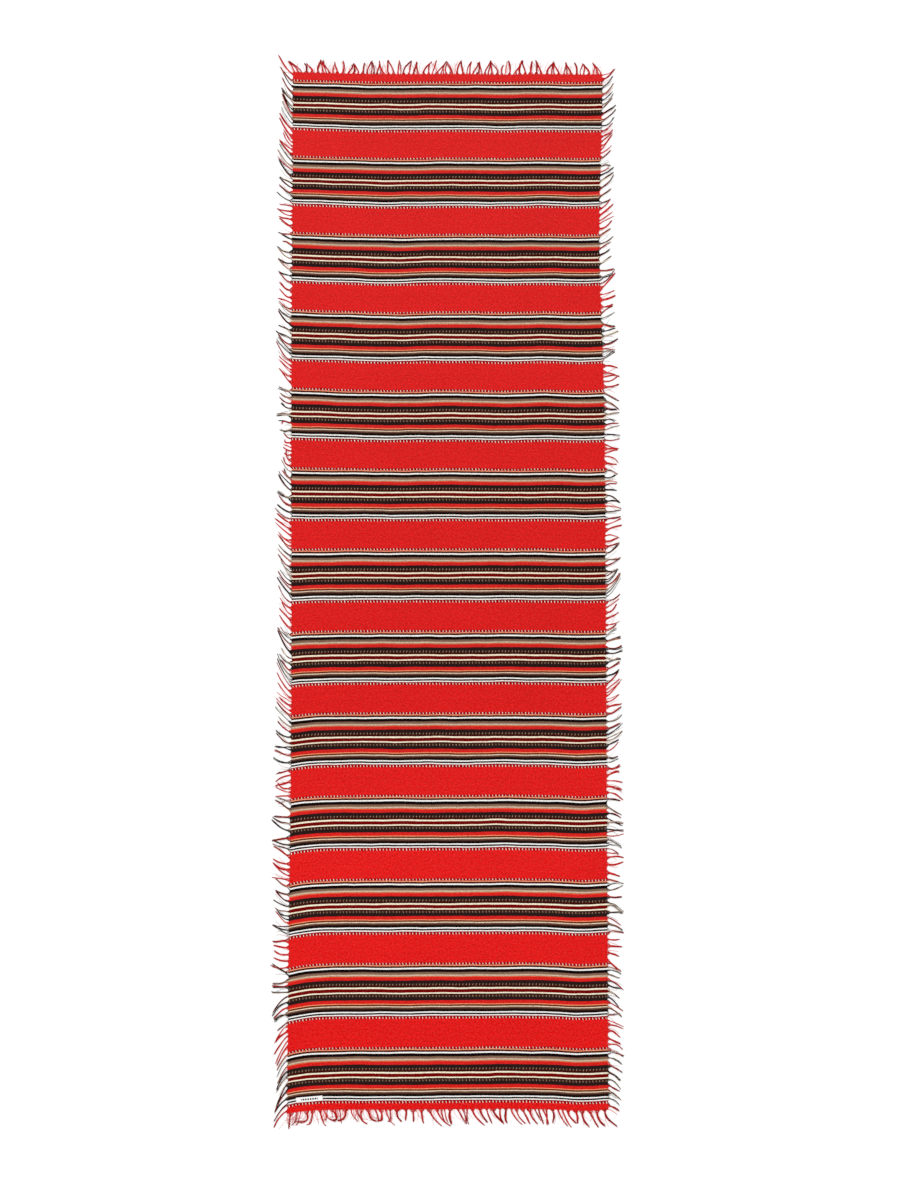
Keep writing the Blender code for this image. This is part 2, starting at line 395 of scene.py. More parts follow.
def closed_sheet(name, upper, lower, material, maps):
    """A closed slab from two grids of points, (rows, columns, 3) each: the upper one, the lower one with its faces
    turned over, and a wall of quads round the rim. maps are (rows, columns, 2) for each UV map."""
    rows, columns = upper.shape[:2]
    count = rows * columns
    top = grid_faces(rows, columns)
    number = np.arange(count).reshape(rows, columns)
    rim = np.concatenate([number[0, :-1], number[:-1, -1], number[-1, :0:-1], number[:0:-1, 0]])
    ahead = np.roll(rim, -1)
    wall = np.stack([rim, rim + count, ahead + count, ahead], axis=1)
    faces = np.concatenate([top, top[:, ::-1] + count, wall])
    uvs = {key: np.concatenate([uv.reshape(-1, 2)] * 2)[faces.ravel()] for key, uv in maps.items()}
    points = np.concatenate([upper.reshape(-1, 3), lower.reshape(-1, 3)])
    made = add_mesh(name, points, [faces], material, uvs)
    made.data.set_sharp_from_angle(angle=math.radians(50))
    return made


def unit(vectors):
    """Each vector over its own length."""
    return vectors / np.linalg.norm(vectors, axis=-1, keepdims=True)


def carry_profile(name, paths, width, height, sides, material, colours):
    """One closed strand for each path: an ellipse of half width and half height carried along it, at
    centre + width * cos(t) * side + height * sin(t) * up, and drawn to a point at both ends.
    paths is (strands, stations, 3), width and height (strands, stations), colours (strands, stations, 3)."""
    strands, stations = paths.shape[:2]
    run = unit(np.gradient(paths, axis=1))
    side = unit(np.cross(run, (0.0, 0.0, 1.0)))
    up = np.cross(side, run)
    turn = 2 * math.pi * np.arange(sides) / sides
    rings = (
        paths[:, :, None]
        + width[:, :, None, None] * np.cos(turn)[:, None] * side[:, :, None]
        + height[:, :, None, None] * np.sin(turn)[:, None] * up[:, :, None]
    ).reshape(strands, -1, 3)
    tips = paths[:, [0, -1]] + run[:, [0, -1]] * width[:, [0, -1], None] * np.array([[-1.0], [1.0]])
    points = np.concatenate([rings, tips], axis=1)
    each = points.shape[1]
    ring, step = np.divmod(np.arange((stations - 1) * sides), sides)
    here, beside = ring * sides + step, ring * sides + (step + 1) % sides
    quads = np.stack([here, here + sides, beside + sides, beside], axis=1)
    j = np.arange(sides)
    last = (stations - 1) * sides
    caps = np.concatenate([
        np.stack([np.full(sides, each - 2), j, (j + 1) % sides], axis=1),
        np.stack([np.full(sides, each - 1), last + (j + 1) % sides, last + j], axis=1),
    ])
    offset = (np.arange(strands) * each)[:, None, None]
    faces = [(part[None] + offset).reshape(-1, part.shape[1]) for part in (quads, caps)]
    # Round the strand in u and along it in v, in turns and metres, and once more in a rimmed cell of its own.
    v_of = np.concatenate([np.repeat(np.linspace(0, 1, stations), sides), [0.0, 1.0]])
    quad_u = np.stack([step, step, step + 1, step + 1], axis=1) / sides
    cap_u = np.tile(np.stack([j + 0.5, j, j + 1], axis=1) / sides, (2, 1))
    cap_u[sides:, 1:] = cap_u[sides:, :0:-1]
    local = np.concatenate([
        np.stack([part_u.ravel(), v_of[part.ravel()]], axis=1) for part_u, part in ((quad_u, quads), (cap_u, caps))
    ])
    cut = quads.size
    long = np.linalg.norm(np.diff(paths, axis=1), axis=2).sum(axis=1)
    cells, rim = math.ceil(math.sqrt(strands)), 0.08
    row, column = np.divmod(np.arange(strands), cells)
    yarn_uv = np.stack(np.broadcast_arrays(local[None, :, 0], local[None, :, 1] * long[:, None]), axis=2)
    cell_uv = np.stack([
        (column[:, None] + rim + (1 - 2 * rim) * local[None, :, 0]) / cells,
        (row[:, None] + rim + (1 - 2 * rim) * local[None, :, 1]) / cells,
    ], axis=2)
    uvs = {
        key: np.concatenate([uv[:, :cut].reshape(-1, 2), uv[:, cut:].reshape(-1, 2)])
        for key, uv in (("Yarn", yarn_uv), ("OFBake", cell_uv))
    }
    ring_colours = np.repeat(colours, sides, axis=1)
    shades = np.concatenate([ring_colours, colours[:, [0, -1]]], axis=1).reshape(-1, 3)
    return add_mesh(name, points.reshape(-1, 3), faces, material, uvs, shades)


# ---- materials


class Recipe:
    """A material's node tree, built one node at a time. A feed is a number, a tuple or another node's output."""

    def __init__(self, name):
        self.material = bpy.data.materials.new(name)
        self.material.use_nodes = True
        self.tree = self.material.node_tree
        self.shader = self.tree.nodes["Principled BSDF"]

    def feed(self, socket, value):
        """Links an output to a socket, or sets the socket to a number or tuple."""
        if isinstance(value, bpy.types.NodeSocket):
            self.tree.links.new(value, socket)
        else:
            socket.default_value = value

    def add(self, kind, feeds=None, **settings):
        """A node of a kind, with its settings and feeds."""
        made = self.tree.nodes.new("ShaderNode" + kind)
        for key, value in settings.items():
            setattr(made, key, value)
        for key, value in (feeds or {}).items():
            self.feed(made.inputs[key], value)
        return made

    def math(self, operation, *values):
        return self.add("Math", dict(enumerate(values)), operation=operation).outputs[0]

    def plus(self, first, second):
        return self.math("ADD", first, second)

    def times(self, first, second):
        return self.math("MULTIPLY", first, second)

    def scaled(self, value, low, high):
        """0 to 1 carried to low to high."""
        return self.math("MULTIPLY_ADD", value, high - low, low)

    def noise(self, vector, scale, detail=2.0, roughness=0.5):
        feeds = {"Vector": vector, "Scale": scale, "Detail": detail, "Roughness": roughness}
        return self.add("TexNoise", feeds).outputs["Fac"]

    def streaks(self, first, second, pace, other_pace, detail=2.0, roughness=0.5):
        """A noise over two counts, such as threads and picks, each with a pace of its own."""
        feeds = {0: self.times(first, pace), 1: self.times(second, other_pace)}
        return self.noise(self.add("CombineXYZ", feeds).outputs[0], 1.0, detail, roughness)

    def uv(self, name):
        """The two coordinates of a UV map."""
        return self.add("SeparateXYZ", {0: self.add("UVMap", uv_map=name).outputs[0]}).outputs[:2]

    def tinted(self, colour, saturation, value):
        """A colour with its saturation and brightness multiplied."""
        feeds = {"Hue": 0.5, "Saturation": saturation, "Value": value, "Fac": 1.0, "Color": colour}
        return self.add("HueSaturation", feeds).outputs[0]

    def random(self, *values):
        """A random number for each set of whole numbers."""
        vector = self.add("CombineXYZ", dict(enumerate(values))).outputs[0]
        return self.add("TexWhiteNoise", {"Vector": vector}, noise_dimensions="3D").outputs["Value"]

    def mix(self, factor, first, second, blend="MIX"):
        made = self.add("Mix", data_type="RGBA", blend_type=blend)
        for socket, value in zip((made.inputs[0], made.inputs[6], made.inputs[7]), (factor, first, second)):
            self.feed(socket, value)
        return made.outputs[2]

    def finish(self, colour, roughness, height, depth, **sockets):
        """Colour, roughness and bump go to the shader; what is the same all over is set on its own sockets."""
        bump = self.add("Bump", {"Height": height, "Distance": depth, "Strength": 1.0})
        self.feed(self.shader.inputs["Base Color"], colour)
        self.feed(self.shader.inputs["Roughness"], roughness)
        self.feed(self.shader.inputs["Normal"], bump.outputs[0])
        for key, value in sockets.items():
            self.shader.inputs[key.replace("_", " ")].default_value = value
        return self.material


def dyed(yarn):
    """The colour that a yarn is dyed, made up for the light on the cloth."""
    return tuple(channel / LIGHT_ON_CLOTH for channel in getattr(bpy.context.scene.runner_dyes, yarn))


def stripe_ramp(recipe, place, before, part):
    """A ramp of hard-edged colours for part, a row of (yarn, picks). place is in picks from the start of the repeat,
    and before is how many of them lie before part."""
    whole = sum(picks for _, picks in part)
    share = recipe.math("DIVIDE", recipe.math("SUBTRACT", place, float(before)), float(whole))
    ramp = recipe.add("ValToRGB", {"Fac": share})
    ramp.color_ramp.interpolation = "CONSTANT"
    stops = ramp.color_ramp.elements
    stops.remove(stops[1])
    start = 0
    for yarn, picks in part:
        stop = stops[0] if start == 0 else stops.new(start / whole)
        stop.position = start / whole
        stop.color = (*dyed(yarn), 1)
        start += picks
    return ramp.outputs[0]


def woven_stripes():
    """Striped wool cloth. The UV map Weave counts warp threads in u and picks in v. The surface is a plain weave, in
    which neighbouring picks pass over alternate threads."""
    r = Recipe("woven_stripes")
    thread, pick = r.uv("Weave")
    # A stripe's edges wander by up to 4 picks over some centimetres, and by 0.8 from one thread to the next.
    drifts = r.streaks(thread, pick, 0.035, 0.006)
    uneven = r.streaks(thread, pick, 0.9, 1.0, 1.0)
    shifted = r.plus(pick, r.scaled(drifts, -4.0, 4.0))
    shifted = r.plus(shifted, r.scaled(uneven, -0.8, 0.8))
    place = r.math("FLOORED_MODULO", r.math("SUBTRACT", shifted, float(LABEL_BAND)), float(REPEAT))
    first, second = GROUP[:FIRST_RAMP], GROUP[FIRST_RAMP:] + (("red", RED_BAND),)
    change = sum(picks for _, picks in first)
    colours = stripe_ramp(r, place, 0, first), stripe_ramp(r, place, change, second)
    colour = r.mix(r.math("GREATER_THAN", place, float(change)), *colours)

    # Brightness is a sum: each pick's own shade, the marl along it, flecks, and soft clouds about 1.
    number = r.math("FLOOR", pick)
    lot = r.random(number, 0.0, 0.0)
    marl = r.streaks(thread, number, 0.22, 7.3, 3.0, 0.6)
    fleck = r.streaks(thread, pick, 0.80, 0.17, 2.0, 0.7)
    cloudy = r.streaks(thread, pick, 0.02, 0.004, 3.0)
    value = r.scaled(lot, -0.05, 0.05)
    for part in (r.scaled(marl, -0.28, 0.28), r.scaled(fleck, -0.70, 0.70), r.scaled(cloudy, 0.94, 1.06)):
        value = r.plus(value, part)
    # The colours are brighter, and a very little richer, towards the label end.
    share = r.math("DIVIDE", pick, float(PICKS))
    feeds = {"Value": share, "From Min": 0.22, "From Max": 0.42, "To Min": 1.13, "To Max": 1.01}
    value = r.times(value, r.add("MapRange", feeds, interpolation_type="SMOOTHSTEP").outputs[0])
    dust = r.streaks(thread, pick, 0.7, 0.15, 1.0)
    richness = r.plus(r.scaled(share, 1.008, 0.995), r.scaled(dust, -0.030, 0.030))
    colour = r.tinted(colour, richness, value)
    colour = r.mix(1.0, colour, (0.96, 0.96, 0.96, 1), "DARKEN")  # no yarn gives back more light than it gets
    # The warp shows as faint red pin-pricks where a pick dives under a thread.
    over = r.math("COSINE", r.times(r.plus(thread, number), math.pi))
    ribs = r.math("COSINE", r.times(pick, 2 * math.pi))
    pricks = r.times(r.math("GREATER_THAN", over, 0.93), 0.10)
    colour = r.mix(pricks, colour, (*dyed("deep_red"), 1))
    height = r.plus(r.scaled(ribs, 0.5, 0.25), r.times(over, 0.22))
    height = r.plus(height, r.times(fleck, 0.25))
    rough = r.scaled(marl, 0.80, 0.96)
    return r.finish(colour, rough, height, 0.18 * MM, Sheen_Weight=0.01, Sheen_Roughness=0.6, Specular_IOR_Level=0.03)


def spun_yarn(name, twists, shine):
    """Two-ply loose yarn in the colour that each strand carries. The UV map Yarn has turns round it in u and metres
    along it in v, so the slanting plies are sin(2 * pi * (2 * u + twists * v)), and a noise makes the hairs."""
    r = Recipe(name)
    dyed_colour = r.add("VertexColor", layer_name="yarn_colour").outputs[0]
    around, along = r.uv("Yarn")
    slant = r.plus(r.times(around, 2.0), r.times(along, twists))
    plies = r.math("SINE", r.times(slant, 2 * math.pi))
    place = r.add("TexCoord").outputs["Object"]
    hairs = r.noise(place, 900.0, 3.0, 0.7)
    worn = r.noise(place, 160.0, 2.0)
    # The plies also show in the brightness: painted shade in the grooves between them and painted light on their
    # crowns.
    value = r.plus(r.scaled(plies, 0.97, 1.03), r.scaled(hairs, -0.16, 0.16))
    value = r.plus(value, r.scaled(worn, -0.12, 0.12))
    height = r.plus(plies, r.times(hairs, 0.8))
    return r.finish(
        r.tinted(dyed_colour, 1.0, value), r.scaled(hairs, 0.78, 0.98), height, 0.05 * MM,
        Sheen_Weight=shine, Sheen_Roughness=0.6, Specular_IOR_Level=0.06,
    )


def label_satin():
    """White satin ribbon with a small row of seven diamonds woven in its middle. The UV map Weave has metres along
    the label in u and across it in v, from its centre: a diamond is where |u| + |v| is small, repeated along u."""
    label = bpy.context.scene.runner_label
    r = Recipe("label_satin")
    along, across = r.uv("Weave")
    pitch = label.motif_pitch
    step = r.math("ABSOLUTE", r.math("SUBTRACT", r.math("FLOORED_MODULO", along, pitch), pitch / 2))
    inside = r.math("LESS_THAN", r.plus(step, r.math("ABSOLUTE", across)), label.motif_reach)
    middle = r.math("LESS_THAN", r.math("ABSOLUTE", along), 3.5 * pitch)
    motif = r.times(inside, middle)
    satin, thread = (tuple(c / LIGHT_ON_CLOTH for c in colour) for colour in (label.satin, label.motif))
    fine = r.math("SINE", r.times(across, 2 * math.pi / (0.4 * MM)))
    floats = r.streaks(along, across, 600.0, 5200.0)
    cloth = r.mix(r.scaled(floats, 0.0, 0.5), (*satin, 1), (*(c * 0.86 for c in satin), 1))
    colour = r.mix(motif, cloth, (*thread, 1))
    height = r.plus(r.times(fine, 0.5), r.times(motif, 1.2))
    rough = r.scaled(floats, 0.35, 0.55)
    return r.finish(colour, rough, height, 0.04 * MM, Sheen_Weight=0.1, Specular_IOR_Level=0.45)


def sewing_thread():
    """White polyester thread: a fine noise, drawn out across the label's length, for its plies and hairs."""
    r = Recipe("sewing_thread")
    stretch = {"Vector": r.add("TexCoord").outputs["Object"], "Scale": (2600.0, 900.0, 1400.0)}
    plies = r.noise(r.add("Mapping", stretch).outputs[0], 1.0, 3.0, 0.6)
    colour = r.mix(plies, (0.62, 0.61, 0.58, 1), (0.88, 0.88, 0.86, 1))
    return r.finish(colour, r.scaled(plies, 0.45, 0.7), plies, 0.06 * MM, Sheen_Weight=0.1, Specular_IOR_Level=0.4)


def pale_floor():
    """A pale matt floor. Its glow thins the shadows."""
    r = Recipe("pale_floor")
    place = r.add("TexCoord").outputs["Object"]
    cloud = r.noise(place, 1.3, 3.0)
    tooth = r.noise(place, 240.0, 2.0)
    studio = bpy.context.scene.runner_studio
    colour = r.mix(cloud, (*studio.floor, 1), (*(c * 0.985 for c in studio.floor), 1))
    r.shader.inputs["Emission Color"].default_value = (1, 1, 1, 1)
    r.shader.inputs["Emission Strength"].default_value = studio.glow
    return r.finish(colour, r.scaled(tooth, 0.85, 0.95), tooth, 0.02 * MM, Specular_IOR_Level=0.1)


# ---- pieces


def fasten(piece):
    """Bakes the piece's placement into its mesh."""
    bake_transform(piece)


def lay_studio():
    """The floor just under the cloth, a white sky, one large soft lamp, and the camera."""
    studio = bpy.context.scene.runner_studio
    corners = np.array([(-1, -1), (1, -1), (1, 1), (-1, 1)]) * FLOOR_HALF
    points = np.column_stack([corners, np.full(4, CAD_BOX[0].z - 0.2 * MM)])
    floor = add_mesh("floor", points, [np.array([[0, 1, 2, 3]])], pale_floor())

    world = bpy.context.scene.world or bpy.data.worlds.new("soft_sky")
    bpy.context.scene.world = world
    world.use_nodes = True
    sky = world.node_tree.nodes["Background"]
    sky.inputs["Color"].default_value = (1, 1, 1, 1)
    sky.inputs["Strength"].default_value = studio.sky

    lamp = bpy.data.lights.new("soft_lamp", "AREA")
    lamp.shape, lamp.size, lamp.energy = "SQUARE", LAMP_SIZE, studio.lamp
    place_facing(bpy.data.objects.new("soft_lamp", lamp), LAMP_PLACE, Vector((0, 0, 0)))

    camera = bpy.data.cameras.new("camera")
    camera.lens, camera.sensor_width, camera.clip_end = studio.lens, 36.0, 60.0
    back = Vector((0, -math.sin(studio.tilt), math.cos(studio.tilt)))
    eye = place_facing(bpy.data.objects.new("camera", camera), CAMERA_AIM + studio.distance * back, CAMERA_AIM)
    bpy.context.scene.camera = eye
    bpy.context.scene.view_settings.view_transform = "Standard"


def place_facing(made, place, aim):
    """Puts a lamp or camera at a place, looking at another."""
    bpy.context.scene.collection.objects.link(made)
    made.matrix_world = Matrix.Translation(place) @ (aim - place).to_track_quat("-Z", "Y").to_matrix().to_4x4()
    return made


def weave_cloth():
    """The three sheets of cloth. Their points are lay() over a grid of across and picks, with the relief of
    weave_rows() on the upper side. The columns are sines of even steps, so they crowd towards the edges, where the
    cloth thins by the 24th power of the distance across."""
    cloth = bpy.context.scene.runner_cloth
    material = woven_stripes()
    widest = 0.4 * math.pi
    across = np.sin(np.linspace(-1, 1, cloth.columns) * widest) / math.sin(widest)
    for sheet, (first, last, _, _, fold, _) in SHEETS.items():
        picks, relief = weave_rows(first, last, pick_at(FOLD_AT[fold]))
        n, u = np.meshgrid(picks, across, indexing="ij")
        edge = 0.35 * MM * np.abs(u) ** 24
        upper = lay(u, n, THICKNESS + relief[:, None] - edge)
        lower = lay(u, n, 0.0)
        weave = np.stack([u * HALF_WIDTH / cloth.warp_spacing, n], axis=-1)
        bake = np.stack([0.01 + 0.49 * (u + 1), 0.01 + 0.98 * (n - first) / (last - first)], axis=-1)
        piece = closed_sheet(f"woven_cloth_{sheet}", upper, lower, material, {"Weave": weave, "OFBake": bake})
        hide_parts(*CLOTH_NODES[sheet])
        fasten(piece)
        kinds = ("fringe", "ticks", "loose_warp")
        beside = [o for o in bpy.data.objects if o.name.startswith(kinds) and o.name.endswith("_" + sheet)]
        if sheet == "label":
            beside += [bpy.data.objects[name] for name in ("satin_label", "stitches_left", "stitches_right")]


def raise_ticks():
    """The dotted rows: in each, a pale yarn comes up at even steps as a short slanting tick across the picks, with s
    from -1 to 1 along it, low and arched as 1 - 1.6 * s squared and as wide as 1 - 0.6 * s squared. No two are
    quite alike in place, size and how far their colour fades into the row's."""
    cloth = bpy.context.scene.runner_cloth
    rng = np.random.default_rng(TICK_SEED)
    material = spun_yarn("tick_yarn", 700.0, 0.02)
    column = (np.arange(cloth.ticks) + 0.5) / cloth.ticks * 2 - 1
    s = np.linspace(-1, 1, 4)
    pick = (PLAIN_EDGE - LABEL_EDGE) / PICKS
    rows = [(yarn, start, end) for yarn, start, end in stripes() if yarn.startswith("dotted")]
    for sheet, (first, last, *_) in SHEETS.items():
        mine = [row for row in rows if first <= row[1] < last]
        middle = np.repeat([(start + end) / 2 for _, start, end in mine], cloth.ticks)
        bright = np.repeat([yarn == "dotted_red" for yarn, _, _ in mine], cloth.ticks)
        picks = np.repeat([end - start for _, start, end in mine], cloth.ticks)
        slant = np.where(picks <= 6, 1.0, -1.0)  # one of the two brown rows slants the other way
        count = len(middle)
        place = np.tile(column, len(mine)) + rng.normal(0, 0.0006, count)
        tall = np.clip(rng.normal(1, 0.10, count), 0.75, 1.2)
        n = middle[:, None] + s * (cloth.tick_length / 2 / pick * tall)[:, None]
        u = place[:, None] + s * (slant * 0.35 * MM / HALF_WIDTH)[:, None]
        arch = THICKNESS + MM * np.where(bright[:, None], 0.16, 0.08) * (1 - 1.6 * s**2)
        broad = cloth.tick_width / 2 * np.clip(rng.normal(1, 0.09, count), 0.75, 1.25)
        fine = np.where(bright, 1.0, 0.75)[:, None] * broad[:, None] * (1 - 0.6 * s**2)
        tone = np.where(bright[:, None], [dyed("white_tick")], [dyed("tan_tick")])
        ground = np.where(bright[:, None], [dyed("dotted_red")], [dyed("dotted_brown")])
        faint = np.where(bright, np.where(picks > 8, 0.10, 0.0), 0.15) + np.abs(rng.normal(0, 0.12, count))
        shade = tone + (ground - tone) * np.clip(faint, 0, 0.8)[:, None]
        shades = np.repeat(shade[:, None], len(s), axis=1)
        piece = carry_profile(f"ticks_{sheet}", lay(u, n, arch), fine, fine * 0.34, 5, material, shades)
        fasten(piece)


def ease(t):
    """0 to 1 as 3 t squared - 2 t cubed, level at both ends."""
    t = np.clip(t, 0, 1)
    return t * t * (3 - 2 * t)


def gather(roots, pitch, rng):
    """Cuts a row of roots into uneven tufts. Gives each root's tuft and each tuft's middle."""
    narrow, wide = 0.45, 1.6  # of the pitch
    widths = pitch * rng.uniform(narrow, wide, int((roots.max() - roots.min()) / pitch / narrow) + 4)
    tuft = np.searchsorted(np.cumsum(widths), roots - roots.min())
    tuft = np.unique(tuft, return_inverse=True)[1]
    return tuft, np.bincount(tuft, roots) / np.bincount(tuft)


def loose_yarns(roots, reach, lean, hooked, pitch, meeting, stray, rng):
    """The paths of loose yarns that stand out from an edge, with s from 0 at the root to 1 at the tip:
    outwards, reach * s, less where the tip hooks over;
    sideways, from the root to the tuft's middle as ease(s / where it gathers), on towards the clump's middle,
    plus lean * reach * (0.55 s + 0.45 s squared), the tuft's own bend as half a sine, its hook as s to the fourth,
    a slow wave, and the tuft's twist, a helix with thick as its radius;
    upwards, from the middle of the cloth down to the table, plus the helix, pressed flat to 0.62 of its height.
    pitch is that of the tufts, meeting how nearly the tufts of one clump come together, least and most, and stray
    the share of thin yarns that lie apart from any tuft. Most ranges are shares of the reach.
    Gives outwards, sideways, upwards and the half thickness, (yarns, stations) each, and which yarns are strays."""
    fringe = bpy.context.scene.runner_fringe
    count, stations = len(roots), 11
    tuft, middle = gather(roots, pitch, rng)
    tufts = len(middle)
    clump, centre = gather(middle, fringe.clump, rng)
    meet = rng.uniform(*meeting, len(centre))[clump]
    towards = ((centre[clump] - middle) * meet)[tuft][:, None]
    lie = rng.normal(0, 0.20, len(centre))[clump] + rng.normal(0, 0.10, tufts) * (1 - meet)
    s = np.linspace(0, 1, stations)
    loner = rng.random(count) < stray

    def own(low, high):
        """A number for each tuft, given to its yarns."""
        return rng.uniform(low, high, tufts)[tuft][:, None]

    drift = np.where(loner, rng.normal(0, 0.30, count), lie[tuft])[:, None]
    longest = 1.08
    length_of = rng.uniform(0.74, longest, len(centre))[clump] + rng.normal(0, 0.05, tufts)
    far = np.clip(length_of[tuft] + rng.normal(0, 0.04, count), 0.60, longest)[:, None]
    far = far * np.where(loner, rng.uniform(0.62, 1.02, count), 1.0)[:, None]
    hook = rng.normal(0, 1, tufts)[tuft][:, None] * hooked[:, None]
    tight = np.where(loner, rng.uniform(0, 0.3, count), rng.uniform(0.92, 1.0, count))[:, None]
    close = ease(s / own(0.10, 0.26)) * tight
    out = reach[:, None] * far * (s - 0.30 * np.minimum(np.abs(hook), 1.2) * s**4)
    turn = own(0, 2 * math.pi) + rng.uniform(0, 2 * math.pi, count)[:, None] + own(-4, 4) * s
    thick = fringe.yarn * np.sqrt(np.bincount(tuft))[tuft][:, None] * np.sqrt(rng.random(count))[:, None] * 0.50
    spread = 1 - 0.35 * ease((s - 0.6) / 0.4)
    side = (middle[tuft] - roots)[:, None] * close + towards * ease((s - 0.1) / 0.9) * (1 - 0.5 * loner[:, None])
    side += (lean[:, None] + drift) * reach[:, None] * far * (0.55 * s + 0.45 * s**2)
    side += own(-0.10, 0.10) * reach[:, None] * np.sin(math.pi * s)
    side += hook * reach[:, None] * 0.40 * s**4
    wave = rng.normal(0, 0.35 * MM, count)[:, None]
    side += wave * np.sin(2 * math.pi * (s * own(0.8, 1.5) + rng.random(count)[:, None])) * s
    side += thick * np.cos(turn) * close * spread
    rest = fringe.yarn / 2
    up = rest + (THICKNESS / 2 - rest) * (1 - ease(s / 0.25)) + thick * 0.62 * (1 + np.sin(turn)) * close
    up += np.where(loner, rng.uniform(0, 1.0, count), 0.0)[:, None] * MM * np.sin(math.pi * s)
    out[:, 0] = -ROOT_IN_CLOTH
    full = rest * np.where(loner, 0.6, 1.0) * np.clip(rng.normal(1, 0.12, count), 0.7, 1.3)
    half = full[:, None] * (1 - 0.35 * s**6)
    return out, side, up, half, loner


def yarn_shades(shades, stations, rng):
    """Each yarn's own colour along it: a little darker or lighter than the dye, and darker towards the tip by the
    square of the distance from the root."""
    count = len(shades)
    tone = np.clip(rng.normal(0.95, 0.12, (count, 1, 1)), 0.6, 1.3)
    s = np.linspace(0, 1, stations)[None, :, None]
    return np.minimum(shades[:, None] * tone * (1 - 0.30 * s**2), 0.93)


def fray_sides():
    """The side fringe: one loose yarn for every two picks, in their colour, on both sides of each sheet. A leaning
    yarn reaches less far, by the root of 1 + 0.45 * lean squared."""
    fringe = bpy.context.scene.runner_fringe
    material = spun_yarn("frayed_yarn", 620.0, 0.03)
    colour_of = np.zeros((PICKS, 3))
    for yarn, start, end in stripes():
        colour_of[start:end] = dyed(yarn)
    for sheet, (first, last, *_) in SHEETS.items():
        for side_name, side in SIDES.items():
            rng = np.random.default_rng(SIDE_SEED + first + int(side))
            picks = np.arange(first, last, 2) + 1.0
            root = lay(np.full(len(picks), side), picks, THICKNESS / 2)
            y = root[:, 1]
            lean = np.interp(y, *(LEFT_LEAN if side < 0 else RIGHT_LEAN))
            # The right side was cut a little shorter, and the left one has a short, tangled stretch.
            worn = 0.42 * bell(y, 0.19, 0.05) if side < 0 else np.full(len(y), 0.10)
            reach = fringe.side_reach * (1 - worn) / np.sqrt(1 + 0.45 * lean**2)
            out, along, up, half, _ = loose_yarns(
                y, reach, lean, 0.10 + np.where(worn > 0.2, 0.5, 0.0), fringe.side_tuft, (0.0, 0.85), 0.08, rng
            )
            paths = np.stack([root[:, :1] + side * out, y[:, None] + along, root[:, 2:] - THICKNESS / 2 + up], axis=-1)
            nodes = [node.replace("cloth", f"{side_name}_fringe") for node in CLOTH_NODES[sheet]]
            piece = carry_profile(
                f"fringe_{side_name}_{sheet}", paths, half, half, 5, material,
                yarn_shades(colour_of[first:last:2], half.shape[1], rng),
            )
            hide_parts(*nodes)
            fasten(piece)


def fray_ends():
    """The end fringes: the loose warp, in the reds that it was dyed. The thin yarns apart are painted a paler pink, as
    painted light against the shade that falls on them.
    """
    fringe, cloth = bpy.context.scene.runner_fringe, bpy.context.scene.runner_cloth
    material = spun_yarn("frayed_warp", 620.0, 0.03)
    threads = int(2 * HALF_WIDTH / cloth.warp_spacing) * WARP_STRANDS
    across = (np.arange(threads) + 0.5) / threads * 2 - 1
    reds = np.array([dyed(yarn) for yarn in WARP_REDS])
    for end, pick, facing, reach, pitch, meeting in (
        ("label", 0.0, -1.0, fringe.label_reach, fringe.label_tuft, (0.0, 0.5)),
        ("plain", float(PICKS), 1.0, fringe.plain_reach, fringe.plain_tuft, (0.8, 1.0)),
    ):
        rng = np.random.default_rng(END_SEED + int(facing))
        root = lay(across, np.full(threads, pick), THICKNESS / 2)
        x = root[:, 0]
        if end == "label":
            lean, hooked, stray = (np.interp(x, *table) for table in (LABEL_LEAN, LABEL_HOOKED, LABEL_STRAY))
        else:
            lean, hooked, stray = np.interp(x, *PLAIN_LEAN), np.full(threads, PLAIN_HOOKED), PLAIN_STRAY
        reach = reach / np.sqrt(1 + 0.6 * lean**2)
        out, along, up, half, strays = loose_yarns(x, reach, lean, hooked, pitch, meeting, stray, rng)
        paths = np.stack([x[:, None] + along, root[:, 1:2] + facing * out, root[:, 2:] - THICKNESS / 2 + up], axis=-1)
        shades = reds[rng.choice(len(reds), threads, p=tuple(WARP_REDS.values()))]
        # The thin yarns apart get a paler pink than the reds: painted light against the shade on them.
        shades[strays] = dyed("stray_pink")
        piece = carry_profile(
            f"loose_warp_{end}", paths, half, half, 5, material, yarn_shades(shades, half.shape[1], rng)
        )
        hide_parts(f"end_fringe_{end}")
        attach(piece, f"{end}_end")


